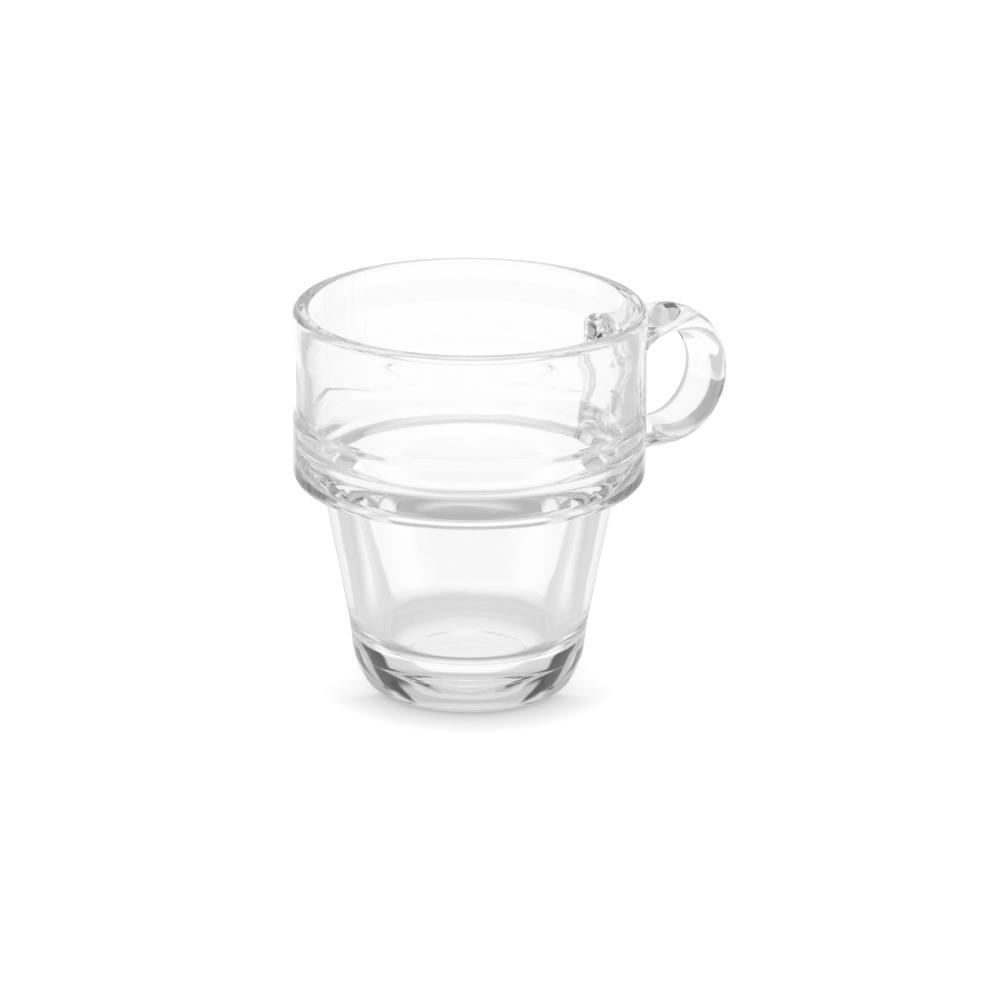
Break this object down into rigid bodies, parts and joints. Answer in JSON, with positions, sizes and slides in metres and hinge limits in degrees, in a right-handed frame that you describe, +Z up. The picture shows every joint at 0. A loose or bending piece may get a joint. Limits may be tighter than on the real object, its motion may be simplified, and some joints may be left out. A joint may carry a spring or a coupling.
{
  "type": "glass mug",
  "caption": "Clear pressed-glass stacking mug: a wide drum over a belted shoulder, a tapered well and a thick foot, with a round ring handle on its side.",
  "frame": {"origin": "middle of the mug's footprint box, on the table; the cup's own axis stands at x = -0.01205", "axes": "+Z up, +X along the handle, away from the cup, +Y across the handle"},
  "size_m": [0.086, 0.062, 0.0694],
  "materials": {
    "clear_glass": "clear soda-lime glass, pressed and fire polished"
  },
  "bodies": {
    "root": {"cup_body": "clear_glass", "ring_handle": "clear_glass"}
  },
  "joints": []
}
